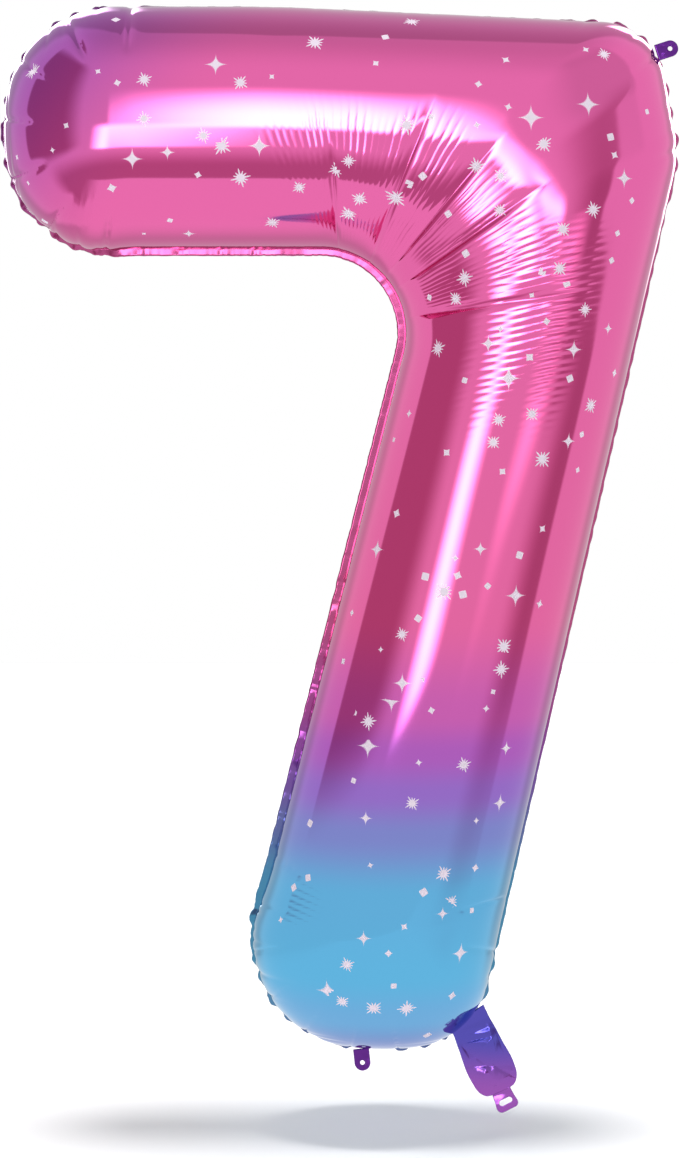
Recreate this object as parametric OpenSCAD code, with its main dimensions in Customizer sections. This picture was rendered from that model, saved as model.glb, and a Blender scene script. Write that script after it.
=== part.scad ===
// Foil number balloon, the figure seven: two printed film panels sealed round the edge and inflated,
// with a filling tail that holds a self-sealing valve, a tie tab and two hanging tabs.
// The balloon's face looks along -Y and its height is along +Z. The origin is the centre of the tie slot.

/* [Body outline] */
// Width of the seamed body, from the bar's end to the shoulder's unrounded corner
body_w = 583; // [480:1:720]
// Height of the seamed body, from the foot's edge to the bar's top edge
body_h = 904; // [740:1:1100]
// Height of the top bar between its seam edges
bar_h = 214; // [176:1:260]
// Width of the foot at its lower edge, between its unrounded corners
foot_w = 224; // [184:1:272]
// Lean of the stem's outer edge from upright, in degrees
outer_lean = 12.7; // [10:0.1:15]
// Lean of the stem's inner edge from upright, in degrees
inner_lean = 14.2; // [11:0.1:16]
// How far the bar's top edge drops between its middle and the corner
corner_drop = 15; // [10:1:20]
// How far the shoulder stands out beyond the top corner
shoulder_out = 22; // [18:1:30]
// Height from the shoulder up to the bar's top edge
shoulder_h = 126; // [105:1:150]

/* [Outline corners] */
// Radius of the bar's rounded end
end_r = 99; // [60:1:120]
// Radius of the gentle arch along the bar's top edge
arch_r = 1500; // [1000:10:2000]
// Radius of the top corner
corner_r = 58; // [40:1:66]
// Radius of the shoulder
shoulder_r = 95; // [70:1:115]
// Radius of the crook under the bar
crook_r = 66; // [45:1:80]
// Radius of the foot's corner on the tail side
foot_outer_r = 76; // [62:1:88]
// Radius of the foot's other corner
foot_inner_r = 100; // [80:1:112]

/* [Film] */
// Half of the inflated depth
half_depth = 98; // [80:1:120]
// Width of the heat-sealed edge
seam_w = 6; // [4:0.5:8]
// Thickness of a foil panel
film_t = 0.3; // [0.2:0.05:0.5]

/* [Filling tail] */
// Width of the tail at its crease
tail_root_w = 35; // [30:1:42]
// Full width of the tail
tail_w = 40; // [34:1:48]
// Length of the tail, without its tie tab
tail_len = 66; // [54:1:80]
// Radius of the tail's end corners
tail_end_r = 12; // [8:1:14]
// Width of the sealed strip down each side of the tail
side_seal_w = 4; // [3:0.5:5]
// Place of the tail on the foot's corner, in degrees round from straight down
tail_seat = 47; // [42:1:52]
// Turn of the tail from straight down, in degrees
tail_turn = 24.5; // [18:0.5:30]
// Turn of the tail's crease from level, in degrees
crease_turn = 35; // [30:0.5:40]
// Distance from the seam's edge to the tail's crease
tail_reach = 3; // [2.5:0.5:5]

/* [Tie tab] */
// Width of the tie tab
tie_w = 20; // [17:0.5:25]
// Width of the waist that joins it to the tail
tie_waist = 17; // [14:0.5:19]
// Length of the tie tab beyond its crease
tie_len = 16; // [14:0.5:20]
// Length of the tie slot
slot_len = 12; // [10:0.5:13]
// Width of the tie slot
slot_w = 5; // [4.5:0.1:6]

/* [Hanging tabs] */
// Width of a hanging tab
tab_w = 14; // [12:0.5:17]
// Length of a hanging tab beyond its crease
tab_len = 16; // [14:0.5:20]
// Radius of a hanging hole
hole_r = 2; // [1.6:0.1:2.4]
// Distance from the seam's edge to a hanging tab's crease
tab_reach = 3.5; // [3:0.1:5]
// Place of the upper tab on the top corner, in degrees round from straight down
upper_seat = 122; // [115:1:135]
// Turn of the upper tab from straight down, in degrees
upper_turn = 108; // [100:1:125]
// Place of the lower tab on the foot's inner corner, in degrees round from straight down
lower_seat = 2; // [0:1:12]
// Turn of the lower tab from straight down, in degrees
lower_turn = 6; // [-8:1:12]

/* [Valve] */
// Thickness of a valve film
valve_t = 0.15; // [0.1:0.05:0.25]
// Thickness of the valve's inner welds, and of the release coating that keeps its channel open
weld_t = 0.1; // [0.05:0.05:0.2]
// Width of the valve films
valve_w = 24; // [20:1:26]
// Width of each weld down the valve's sides
weld_w = 2.5; // [2:0.5:4]
// Distance from the tail's open end to the valve films
valve_setback = 5; // [3:1:8]
// Length of the valve's free tongue inside the body
tongue_len = 52; // [40:1:60]
// Width of the tongue at its free end
tongue_tip_w = 18; // [15:1:20]

/* [Creases] */
// Half of the gap that a crease leaves between the pieces on its two sides
crease_gap = 0.9; // [0.8:0.1:1.2]

/* [Hidden] */

pink = [0.86, 0.24, 0.56];
violet = [0.36, 0.20, 0.62];
blue = [0.35, 0.62, 0.84];
clear_film = [0.85, 0.88, 0.92];
ink = [0.75, 0.55, 0.35];

// Layers, from the middle plane out: the valve's inner welds, the valve films, the foil films.
// The seal between the foil films is as thick as the valve that passes through it.
weld_y = weld_t / 2;
seal_y = weld_y + valve_t;
foil_y = seal_y + film_t;

function unit(v) = v / norm(v);
function left_of(v) = [-v[1], v[0]];
function down(turn) = [sin(turn), -cos(turn)];

// Outline: the corners of the seven as [x, z, radius], in body axes with x = 0 at the bar's end
// and z = 0 at the foot's edge. The outer side runs over the top, the inner side under the bar.
shoulder_z = body_h - shoulder_h;
foot_right = body_w - shoulder_z * tan(outer_lean);
foot_left = foot_right - foot_w;
bar_z = body_h - bar_h;
crook_x = foot_left + bar_z * tan(inner_lean);
bar_end_r = min(end_r, bar_h / 2 - 1);
outer_corners = [
    [0, body_h, bar_end_r],
    [body_w * 0.4, body_h, arch_r],
    [body_w - shoulder_out, body_h - corner_drop, corner_r],
    [body_w, shoulder_z, shoulder_r],
    [foot_right, 0, foot_outer_r]
];
inner_corners = [
    [0, bar_z, bar_end_r],
    [crook_x, bar_z, crook_r],
    [foot_left, 0, foot_inner_r]
];
end_tip = [0, body_h - bar_h / 2];
foot_in = foot_inner_r / tan((90 - inner_lean) / 2);
foot_out = foot_outer_r / tan((90 + outer_lean) / 2);
foot_tip = [(foot_left + foot_in + foot_right - foot_out) / 2, 0];

function flat(p) = [p[0], p[1]];
function centre_of(a, b, c) =
    let (u = unit(flat(a) - flat(b)), v = unit(flat(c) - flat(b)), half = acos(u * v) / 2)
    flat(b) + unit(u + v) * b[2] / sin(half);

// The arc that rounds corner b between its neighbours a and c, as points along it.
arc_steps = 8;
function rounded(a, b, c) =
    let (u = unit(flat(a) - flat(b)), v = unit(flat(c) - flat(b)),
         half = acos(u * v) / 2,
         centre = centre_of(a, b, c),
         start = flat(b) + u * b[2] / tan(half) - centre,
         sweep = sign(cross(u, v)) * (180 - 2 * half))
    [for (i = [0 : arc_steps]) let (t = sweep * i / arc_steps)
        centre + [start[0] * cos(t) + start[1] * sin(t), start[1] * cos(t) - start[0] * sin(t)]];

function side_path(from, corners, to) =
    let (stops = concat([from], corners, [to]))
    concat([from],
           [for (i = [1 : len(corners)]) each rounded(stops[i - 1], stops[i], stops[i + 1])],
           [to]);
outer_path = side_path(end_tip, outer_corners, foot_tip);
inner_path = side_path(end_tip, inner_corners, foot_tip);

// The first and the last point of a path's numbered arc, as indices.
function arc_from(k) = 1 + k * (arc_steps + 1);
function arc_to(k) = arc_from(k) + arc_steps;

// Length along a path up to each of its points, and the point at length s.
function lengths(path) =
    [for (i = 0, s = 0; i < len(path);
          s = s + (i + 1 < len(path) ? norm(path[i + 1] - path[i]) : 0), i = i + 1) s];
function point_at(path, sums, s, i = 1) =
    i >= len(path) - 1 || sums[i] >= s
        ? let (d = sums[i] - sums[i - 1], t = d > 0 ? (s - sums[i - 1]) / d : 0)
          path[i - 1] + (path[i] - path[i - 1]) * t
        : point_at(path, sums, s, i + 1);
outer_sums = lengths(outer_path);
inner_sums = lengths(inner_path);

// Where each length of the body begins, along its inner and its outer side: the bar's end, its
// straight, the bend up to the corner, the corner, the shoulder, the bend's rest, the straight
// stem and the foot.
crook_start = inner_path[arc_from(1)];
crook_end = inner_path[arc_to(1)];
foot_start = inner_path[arc_from(2)];
stem_top = outer_path[arc_to(3)];
stem_run = unit([foot_right, 0] - [body_w, shoulder_z]);
function stem_length_to(p, lean) =
    outer_sums[arc_to(3)]
    + cross(p - stem_top, [cos(lean), -sin(lean)]) / cross(stem_run, [cos(lean), -sin(lean)]);
function crook_length(share) =
    inner_sums[arc_from(1)] + (inner_sums[arc_to(1)] - inner_sums[arc_from(1)]) * share;
inner_marks = [
    0,
    inner_sums[arc_to(0)],
    crook_length(0),
    crook_length(0.3),
    crook_length(0.5),
    crook_length(0.65),
    crook_length(1),
    inner_sums[arc_from(2)],
    inner_sums[len(inner_sums) - 1]
];
outer_marks = [
    0,
    outer_sums[arc_to(0)],
    outer_sums[arc_to(0)] + crook_start[0] - outer_path[arc_to(0)][0],
    outer_sums[arc_from(2)],
    outer_sums[arc_to(2)],
    outer_sums[arc_to(3)],
    stem_length_to(crook_end, inner_lean),
    stem_length_to(foot_start, 0),
    outer_sums[len(outer_sums) - 1]
];
steps = [7, 6, 5, 6, 3, 4, 11, 8];

// Stations: the two ends of every cross-section, from the bar's end to the foot.
function spread(marks) =
    [for (k = [0 : len(steps) - 1]) for (i = [0 : steps[k] - 1])
        marks[k] + (marks[k + 1] - marks[k]) * i / steps[k],
     marks[len(marks) - 1]];
outer_edge = [for (s = spread(outer_marks)) point_at(outer_path, outer_sums, s)];
inner_edge = [for (s = spread(inner_marks)) point_at(inner_path, inner_sums, s)];
stations = len(outer_edge);

// The outline as one loop: out along the outer side and back along the inner side.
outline = concat(outer_edge, [for (i = [stations - 2 : -1 : 1]) inner_edge[i]]);
loop = len(outline);
function inset(d) =
    [for (i = [0 : loop - 1])
        let (before = outline[(i + loop - 1) % loop], after = outline[(i + 1) % loop])
        outline[i] - left_of(unit(after - before)) * d];

// Inflated shape: each cross-section is half an ellipse from seam to seam. The depth falls off
// towards the bar's end and towards the foot.
across = 12;
function round_off(t) = sqrt(1 - pow(1 - min(1, max(0, t)), 2));
function depth_at(i) =
    let (mid = (outer_edge[i] + inner_edge[i]) / 2)
    (half_depth - foil_y) * round_off(mid[0] / bar_end_r) * round_off(mid[1] / foot_start[1]);
function section(rim, i, y, d) =
    let (a = rim[i], b = rim[loop - i], depth = max(0, depth_at(i) - d / 2))
    [for (m = [0 : across]) let (t = 180 * m / across, p = (a + b) / 2 + (a - b) / 2 * cos(t))
        [p[0], -y - depth * sin(t), p[1]]];
function solid_points(rim, y) = [for (p = rim) [p[0], -y, p[1]]];
function skin(d, y) =
    let (rim = inset(seam_w + d))
    concat(solid_points(outline, y),
           [for (i = [1 : stations - 2]) each section(rim, i, y, d)],
           solid_points([rim[0], rim[stations - 1]], y));

// Faces of one skin: the flat sealed strip, then the inflated rows and the two tips.
row = across + 1;
rows = stations - 2;
tip_a = loop + rows * row;
tip_b = tip_a + 1;
skin_size = tip_b + 1;
function at(i, m) = loop + i * row + m;
rim_loop = concat([tip_a], [for (i = [0 : rows - 1]) at(i, 0)],
                  [tip_b], [for (i = [rows - 1 : -1 : 0]) at(i, across)]);
skin_faces = concat(
    [for (i = [0 : loop - 1]) let (j = (i + 1) % loop)
        each [[i, j, rim_loop[j]], [i, rim_loop[j], rim_loop[i]]]],
    [for (i = [0 : rows - 2]) for (m = [0 : across - 1])
        each [[at(i, m), at(i + 1, m), at(i, m + 1)],
              [at(i, m + 1), at(i + 1, m), at(i + 1, m + 1)]]],
    [for (m = [0 : across - 1]) [tip_a, at(0, m), at(0, m + 1)]],
    [for (m = [0 : across - 1]) [tip_b, at(rows - 1, m + 1), at(rows - 1, m)]]);
function turned(faces) = [for (f = faces) [f[0] + skin_size, f[2] + skin_size, f[1] + skin_size]];
edge_faces =
    [for (i = [0 : loop - 1]) let (j = (i + 1) % loop)
        each [[i, i + skin_size, j], [j, i + skin_size, j + skin_size]]];

// Where the hinged pieces sit, in body axes.
foot_centre = centre_of(outer_corners[3], outer_corners[4], foot_tip);
tail_at = foot_centre + down(tail_seat) * foot_outer_r + down(crease_turn) * tail_reach;
slant = crease_turn - tail_turn;
upper_at = centre_of(outer_corners[1], outer_corners[2], outer_corners[3])
           + down(upper_seat) * corner_r + down(upper_turn) * tab_reach;
lower_at = centre_of(inner_corners[1], inner_corners[2], foot_tip)
           + down(-lower_seat) * foot_inner_r + down(lower_turn) * tab_reach;

// The tongue starts where the whole width of the valve is inside the seam.
across_tail = [cos(tail_turn), sin(tail_turn)];
from_centre = tail_at - foot_centre;
valve_side = from_centre * across_tail + valve_w / 2;
rim_r = foot_outer_r - seam_w - film_t;
neck_in = from_centre * down(tail_turn) - sqrt(pow(rim_r, 2) - pow(valve_side, 2)) + 2 + crease_gap;

// The tie tab's crease and its slot, as distances from the tail's crease.
tie_crease = tail_len + crease_gap;
slot_at = tie_crease + crease_gap + (tie_len - crease_gap) / 2;
slot_centre = tail_at + down(tail_turn) * slot_at;

// A flat sheet between two depths, from a shape drawn with x across and y up.
module sheet(y0, y1) {
    translate([0, y1, 0])
        rotate([90, 0, 0])
            linear_extrude(y1 - y0)
                children();
}
module place(p, turn) {
    translate([p[0] - slot_centre[0], 0, p[1] - slot_centre[1]])
        rotate([0, -turn, 0])
            children();
}

// Half planes on either side of the tail's crease, with the crease's gap.
module past_crease(side) {
    rotate(slant)
        translate([-100, side > 0 ? -crease_gap : crease_gap - 200])
            square([200, 200]);
}
module necks() {
    difference() {
        union() {
            translate(tail_at)
                rotate(crease_turn)
                    translate([-tail_root_w / 2, crease_gap])
                        square([tail_root_w, 2 * seam_w + 3 * tail_reach]);
            translate(upper_at)
                rotate(upper_turn)
                    translate([-tab_w / 2, crease_gap])
                        square([tab_w, seam_w + tab_reach]);
            translate(lower_at)
                rotate(lower_turn)
                    translate([-tab_w / 2, crease_gap])
                        square([tab_w, seam_w + tab_reach]);
        }
        polygon(inset(seam_w * 0.8));
    }
}
module panel() {
    place([0, 0], 0)
        union() {
            polyhedron(
                points = concat(skin(0, foil_y), skin(film_t, seal_y)),
                faces = concat(skin_faces, turned(skin_faces), edge_faces),
                convexity = 6);
            sheet(-foil_y, -seal_y)
                necks();
        }
}

// Shapes of the tail and of the valve, in the tail's own axes: its crease at y = 0, its end below.
module tail_shape() {
    difference() {
        hull() {
            translate([-tail_root_w / 2, 0])
                square([tail_root_w, tail_root_w / 4]);
            for (side = [-1, 1]) {
                translate([side * (tail_w / 2 - tail_end_r), -tail_len * 0.45])
                    circle(r = tail_end_r, $fn = 48);
                translate([side * (tail_w / 2 - tail_end_r) * 0.9, tail_end_r - tail_len])
                    circle(r = tail_end_r, $fn = 48);
            }
        }
        past_crease(1);
    }
}
module strip(y0, y1, w0, w1) {
    polygon([[-w0 / 2, y0], [w0 / 2, y0], [w1 / 2, y1], [-w1 / 2, y1]]);
}
module inlet_shape(trim) {
    difference() {
        strip(valve_setback - tail_len, tail_root_w / 4, valve_w - trim, valve_w - trim);
        past_crease(1);
    }
}
module neck_shape(trim) {
    difference() {
        strip(-tail_root_w / 4, neck_in - crease_gap, valve_w - trim, valve_w - trim);
        past_crease(-1);
    }
}
module tongue_shape(trim) {
    strip(neck_in + crease_gap, neck_in + tongue_len, valve_w - trim, tongue_tip_w - trim);
}

module front_panel() {
    color(pink)
        panel();
}
module rear_panel() {
    color(pink)
        mirror([0, 1, 0])
            panel();
}
module perimeter_seam() {
    color(blue)
        place([0, 0], 0)
            difference() {
                union() {
                    sheet(-seal_y, seal_y)
                        difference() {
                            polygon(outline);
                            polygon(inset(seam_w));
                        }
                    sheet(-seal_y, seal_y)
                        necks();
                }
                sheet(-2 * seal_y, 2 * seal_y)
                    translate(tail_at)
                        rotate(tail_turn)
                            strip(-tail_root_w, tail_root_w, valve_w, valve_w);
            }
}

module neck_front_film() {
    color(clear_film)
        place(tail_at, tail_turn)
            sheet(-seal_y, -weld_y)
                neck_shape(0);
}
module neck_rear_film() {
    color(clear_film)
        place(tail_at, tail_turn)
            sheet(weld_y, seal_y)
                neck_shape(0);
}
module neck_side_welds() {
    color(clear_film)
        place(tail_at, tail_turn)
            sheet(-weld_y, weld_y)
                difference() {
                    neck_shape(0);
                    strip(-valve_w, 2 * neck_in, valve_w - 2 * weld_w, valve_w - 2 * weld_w);
                }
}
module release_coating() {
    color(ink)
        place(tail_at, tail_turn)
            sheet(-weld_y, weld_y)
                neck_shape(2 * weld_w);
}

module tongue_front_film() {
    color(clear_film)
        place(tail_at, tail_turn)
            sheet(-seal_y, -weld_y)
                tongue_shape(0);
}
module tongue_rear_film() {
    color(clear_film)
        place(tail_at, tail_turn)
            sheet(weld_y, seal_y)
                tongue_shape(0);
}
module tongue_side_welds() {
    color(clear_film)
        place(tail_at, tail_turn)
            sheet(-weld_y, weld_y)
                difference() {
                    tongue_shape(0);
                    tongue_shape(2 * weld_w);
                }
}

module tail_front_film() {
    color(violet)
        place(tail_at, tail_turn)
            sheet(-foil_y, -seal_y)
                tail_shape();
}
module tail_rear_film() {
    color(violet)
        place(tail_at, tail_turn)
            sheet(seal_y, foil_y)
                tail_shape();
}
module tail_side_seals() {
    color(violet)
        place(tail_at, tail_turn)
            sheet(-seal_y, seal_y)
                difference() {
                    tail_shape();
                    translate([0, -tail_len / 2])
                        square([tail_w - 2 * side_seal_w, 3 * tail_len], center = true);
                    strip(-2 * tail_len, tail_len, valve_w, valve_w);
                }
}

module inlet_front_film() {
    color(clear_film)
        place(tail_at, tail_turn)
            sheet(-seal_y, -weld_y)
                inlet_shape(0);
}
module inlet_rear_film() {
    color(clear_film)
        place(tail_at, tail_turn)
            sheet(weld_y, seal_y)
                inlet_shape(0);
}
module inlet_side_welds() {
    color(clear_film)
        place(tail_at, tail_turn)
            sheet(-weld_y, weld_y)
                difference() {
                    inlet_shape(0);
                    strip(-2 * tail_len, tail_len, valve_w - 2 * weld_w, valve_w - 2 * weld_w);
                }
}

module tie_tab() {
    color(violet)
        place(tail_at, tail_turn)
            sheet(-foil_y, foil_y)
                difference() {
                    hull() {
                        translate([-tie_waist / 2, -tie_crease - 2 * crease_gap])
                            square([tie_waist, crease_gap]);
                        for (side = [-1, 1])
                            translate([side * (tie_w / 2 - tie_w / 5), tie_w / 5 - tie_crease - tie_len])
                                circle(r = tie_w / 5, $fn = 32);
                    }
                    hull()
                        for (side = [-1, 1])
                            translate([side * (slot_len - slot_w) / 2, -slot_at])
                                circle(d = slot_w, $fn = 32);
                }
}

// A hanging tab in its own axes, with its crease at the top. Its hole is at the centre of its
// rounded tip.
module hanging_tab() {
    difference() {
        sheet(-foil_y, foil_y)
            hull() {
                translate([-tab_w / 2, -2 * crease_gap])
                    square([tab_w, crease_gap]);
                translate([0, tab_w / 2 - tab_len])
                    circle(d = tab_w, $fn = 48);
            }
        translate([0, 0, tab_w / 2 - tab_len])
            rotate([90, 0, 0])
                cylinder(r = hole_r, h = 8 * foil_y, center = true, $fn = 48);
    }
}
module upper_hanging_tab() {
    color(violet)
        place(upper_at, upper_turn)
            hanging_tab();
}
module lower_hanging_tab() {
    color(violet)
        place(lower_at, lower_turn)
            hanging_tab();
}

front_panel();
rear_panel();
perimeter_seam();
neck_front_film();
neck_rear_film();
neck_side_welds();
release_coating();
tongue_front_film();
tongue_rear_film();
tongue_side_welds();
tail_front_film();
tail_rear_film();
tail_side_seals();
inlet_front_film();
inlet_rear_film();
inlet_side_welds();
tie_tab();
upper_hanging_tab();
lower_hanging_tab();
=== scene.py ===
# Foil number balloon, the figure seven: its looks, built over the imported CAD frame.
# Lengths are in millimetres in body axes (x = 0 at the bar's end, z = 0 at the foot's edge, -y out of
# the front) and are turned into metres in the row frame by to_frame().
import math

import bpy
import numpy as np
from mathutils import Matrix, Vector


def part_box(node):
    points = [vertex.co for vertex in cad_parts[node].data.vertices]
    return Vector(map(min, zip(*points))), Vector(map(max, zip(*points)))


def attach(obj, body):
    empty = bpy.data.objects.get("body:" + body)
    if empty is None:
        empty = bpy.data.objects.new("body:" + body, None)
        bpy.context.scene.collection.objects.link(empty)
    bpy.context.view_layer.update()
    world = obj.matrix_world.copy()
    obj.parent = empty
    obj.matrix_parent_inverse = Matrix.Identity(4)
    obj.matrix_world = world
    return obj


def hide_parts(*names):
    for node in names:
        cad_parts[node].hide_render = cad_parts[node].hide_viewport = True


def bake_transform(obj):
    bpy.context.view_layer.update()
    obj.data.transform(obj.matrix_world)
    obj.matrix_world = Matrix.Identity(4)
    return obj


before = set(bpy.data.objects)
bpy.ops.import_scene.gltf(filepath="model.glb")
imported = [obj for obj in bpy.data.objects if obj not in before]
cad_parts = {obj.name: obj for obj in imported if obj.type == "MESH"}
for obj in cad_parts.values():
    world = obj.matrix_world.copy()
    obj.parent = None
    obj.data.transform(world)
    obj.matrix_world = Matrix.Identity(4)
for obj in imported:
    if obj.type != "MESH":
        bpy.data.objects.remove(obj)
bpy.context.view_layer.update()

# ---------------------------------------------------------------- the seven's outline
BODY_W, BODY_H, BAR_H, FOOT_W = 583.0, 904.0, 214.0, 224.0
OUTER_LEAN, INNER_LEAN = math.radians(12.7), math.radians(14.2)
SHOULDER_Z = BODY_H - 126.0
FOOT_RIGHT = BODY_W - SHOULDER_Z * math.tan(OUTER_LEAN)
FOOT_LEFT = FOOT_RIGHT - FOOT_W
BAR_Z = BODY_H - BAR_H
CROOK_X = FOOT_LEFT + BAR_Z * math.tan(INNER_LEAN)
END_R, FOOT_OUT_R, FOOT_IN_R, CROOK_R = 99.0, 76.0, 100.0, 66.0
# Corners of the outer side as (x, z, radius): a slight bend of the top edge, the top corner and the
# shoulder below it.
TOP_BEND = (BODY_W * 0.4, BODY_H, 1500.0)
TOP_CORNER = (BODY_W - 22, BODY_H - 15, 58.0)
SHOULDER = (BODY_W, SHOULDER_Z, 95.0)
SEAM = 6.0          # width of the sealed edge
DEPTH = 97.5        # how far each panel swells from the seam's plane
FOOT_DOME = 124.0   # height over which the foot's end swells to the full depth
RIM_Y = 0.25        # the panels' rims stand this far off the seam's plane
TAIL_SEAT = 47.0    # degrees round the foot's outer arc, from straight down, to the tail
END_TIP = np.array([0.0, BODY_H - BAR_H / 2])
FOOT_TIP = np.array([(FOOT_LEFT + FOOT_IN_R / math.tan((math.pi / 2 - INNER_LEAN) / 2)
                      + FOOT_RIGHT - FOOT_OUT_R / math.tan((math.pi / 2 + OUTER_LEAN) / 2)) / 2, 0.0])

panel_low, panel_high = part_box("front_panel")
ORIGIN = np.array([panel_low.x * 1000, 0.0, panel_high.z * 1000 - BODY_H])


def to_frame(p):
    """Points in metres in the row frame."""
    return (np.asarray(p, float) + ORIGIN) / 1000


# The camera stands in front. The marks below were laid out as they look from there.
TARGET = Vector((-0.1456, 0.0, 0.458))
DISTANCE, RISE = 2.6, math.radians(3.0)
EYE = TARGET + Vector((0, -math.cos(RISE), math.sin(RISE))) * DISTANCE
EYE_MM = np.array(EYE) * 1000 - ORIGIN


def as_seen(p):
    """Where points fall on the mid-plane as seen by the camera."""
    q = EYE_MM + (p - EYE_MM) * (EYE_MM[1] / (EYE_MM[1] - p[..., 1:2]))
    return q[..., 0], q[..., 2]


def unit(v):
    return v / np.linalg.norm(v)


def corner(a, b, c, r):
    """Centre of the arc that rounds corner b, its start vector and its sweep."""
    a, b, c = (np.asarray(p, float)[:2] for p in (a, b, c))
    u, v = unit(a - b), unit(c - b)
    half = math.acos(float(u @ v)) / 2
    centre = b + unit(u + v) * r / math.sin(half)
    start = b + u * r / math.tan(half) - centre
    return centre, start, -math.copysign(math.pi - 2 * half, u[0] * v[1] - u[1] * v[0])


def arc_points(centre, start, sweep, steps):
    """Points along an arc, from its start through its sweep."""
    t = np.linspace(0, sweep, steps)
    return centre + np.c_[start[0] * np.cos(t) - start[1] * np.sin(t),
                          start[1] * np.cos(t) + start[0] * np.sin(t)]


def side(first, corners, last, steps=48):
    """One side of the outline: straight runs, with an arc at each corner (x, z, radius). Gives its
    points, the length along it at each, and the first and last point of each arc."""
    stops = [first] + corners + [last]
    points, ends = [first], []
    for i, c in enumerate(corners):
        ends.append((len(points), len(points) + steps - 1))
        points += list(arc_points(*corner(stops[i], c, stops[i + 2], c[2]), steps))
    points.append(last)
    points = np.array(points)
    length = np.r_[0, np.cumsum(np.linalg.norm(np.diff(points, axis=0), axis=1))]
    return points, length, ends


outer, outer_len, outer_arcs = side(END_TIP, [
    (0, BODY_H, END_R), TOP_BEND, TOP_CORNER, SHOULDER, (FOOT_RIGHT, 0, FOOT_OUT_R)], FOOT_TIP)
inner, inner_len, inner_arcs = side(END_TIP, [
    (0, BAR_Z, END_R), (CROOK_X, BAR_Z, CROOK_R), (FOOT_LEFT, 0, FOOT_IN_R)], FOOT_TIP)


def run_to(p, lean):
    """Length along the outer side to the point across the stem from p."""
    top = outer[outer_arcs[3][1]]
    run = unit(np.array([FOOT_RIGHT, 0]) - np.array([BODY_W, SHOULDER_Z]))
    across = np.array([math.cos(lean), -math.sin(lean)])
    gap = p - top
    return (outer_len[outer_arcs[3][1]]
            + (gap[0] * across[1] - gap[1] * across[0]) / (run[0] * across[1] - run[1] * across[0]))


crook_a, crook_b = inner_len[inner_arcs[1][0]], inner_len[inner_arcs[1][1]]
inner_marks = np.array([0, inner_len[inner_arcs[0][1]]]
                       + [crook_a + (crook_b - crook_a) * s for s in (0, 0.3, 0.5, 0.65, 1)]
                       + [inner_len[inner_arcs[2][0]], inner_len[-1]])
outer_marks = np.array([0, outer_len[outer_arcs[0][1]],
                        outer_len[outer_arcs[0][1]] + inner[inner_arcs[1][0]][0]
                        - outer[outer_arcs[0][1]][0],
                        outer_len[outer_arcs[2][0]], outer_len[outer_arcs[2][1]],
                        outer_len[outer_arcs[3][1]],
                        run_to(inner[inner_arcs[1][1]], INNER_LEAN),
                        run_to(inner[inner_arcs[2][0]], 0.0), outer_len[-1]])
knots = np.r_[0, np.cumsum((np.diff(inner_marks) + np.diff(outer_marks)) / 2)]


def eased(marks):
    """Length along a side against the run along the body, smoothed so that the sections turn evenly."""
    run = np.linspace(0, knots[-1], 1600)
    v = np.interp(run, knots, marks)
    for _ in range(3):
        pad = 40
        ends = np.r_[2 * v[0] - v[pad:0:-1], v, 2 * v[-1] - v[-2:-pad - 2:-1]]
        v = np.convolve(ends, np.ones(2 * pad + 1) / (2 * pad + 1), "valid")
    return run, v


RUN, OUT_OF_RUN = eased(outer_marks)
_, IN_OF_RUN = eased(inner_marks)


def on_side(path, length, s):
    """Places and directions at the lengths s along a side."""
    s = np.clip(s, 0, length[-1])
    p = np.c_[np.interp(s, length, path[:, 0]), np.interp(s, length, path[:, 1])]
    e = 1.5
    a, b = np.clip(s - e, 0, length[-1]), np.clip(s + e, 0, length[-1])
    d = np.c_[np.interp(b, length, path[:, 0]) - np.interp(a, length, path[:, 0]),
              np.interp(b, length, path[:, 1]) - np.interp(a, length, path[:, 1])]
    d /= np.linalg.norm(d, axis=1)[:, None]
    return p, d


def smooth(x, a, b):
    """A smooth step from 0 at a to 1 at b."""
    t = np.clip((np.asarray(x, float) - a) / (b - a), 0, 1)
    return t * t * (3 - 2 * t)


def bump(x, a, b, c, d):
    """A smooth rise from 0 at a to 1 at b, and a fall from c back to 0 at d."""
    return smooth(x, a, b) * (1 - smooth(x, c, d))


# ---------------------------------------------------------------- how the seam lies
def fold_out(s):
    """1 where the sealed edge is pulled back out of sight, 0 where it stands out flat."""
    stem = smooth(s, outer_len[outer_arcs[3][1]], outer_len[outer_arcs[3][1]] + 120)
    foot = smooth(s, outer_len[outer_arcs[4][0]] - 60, outer_len[outer_arcs[4][0]])
    return 1 - 0.22 * stem * (1 - foot)


def fold_in(s):
    """The same along the inner side, where the edge stands out flat from the bar to the foot."""
    end = 1 - smooth(s, inner_len[inner_arcs[0][1]] - 40, inner_len[inner_arcs[0][1]] + 20)
    foot = smooth(s, inner_len[inner_arcs[2][0]] - 40, inner_len[inner_arcs[2][0]] + 30)
    return np.maximum(end, foot)


def rim_inset(fold):
    """How far a panel's rim lies inside the outline."""
    return SEAM * (1 - 0.8 * fold)


def rounded(s, length, arcs):
    """1 round the ends and corners, where the seam is gathered, and little along the straight runs."""
    near = np.zeros_like(s)
    for a, b in arcs:
        arc = bump(s, length[a] - 45, length[a] + 5, length[b] - 5, length[b] + 45)
        near = np.maximum(near, arc)
    return 0.2 + 0.8 * near


def round_out(s):
    """How gathered the outer side is at s."""
    tip = 1 - smooth(s, 20, 60) + smooth(s, outer_len[-1] - 60, outer_len[-1] - 20)
    return np.maximum(rounded(s, outer_len, [outer_arcs[i] for i in (0, 2, 3, 4)]), tip)


def round_in(s):
    """How gathered the inner side is at s."""
    tip = 1 - smooth(s, 20, 60) + smooth(s, inner_len[-1] - 60, inner_len[-1] - 20)
    return np.maximum(rounded(s, inner_len, [inner_arcs[i] for i in (0, 2)]), tip)


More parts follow.
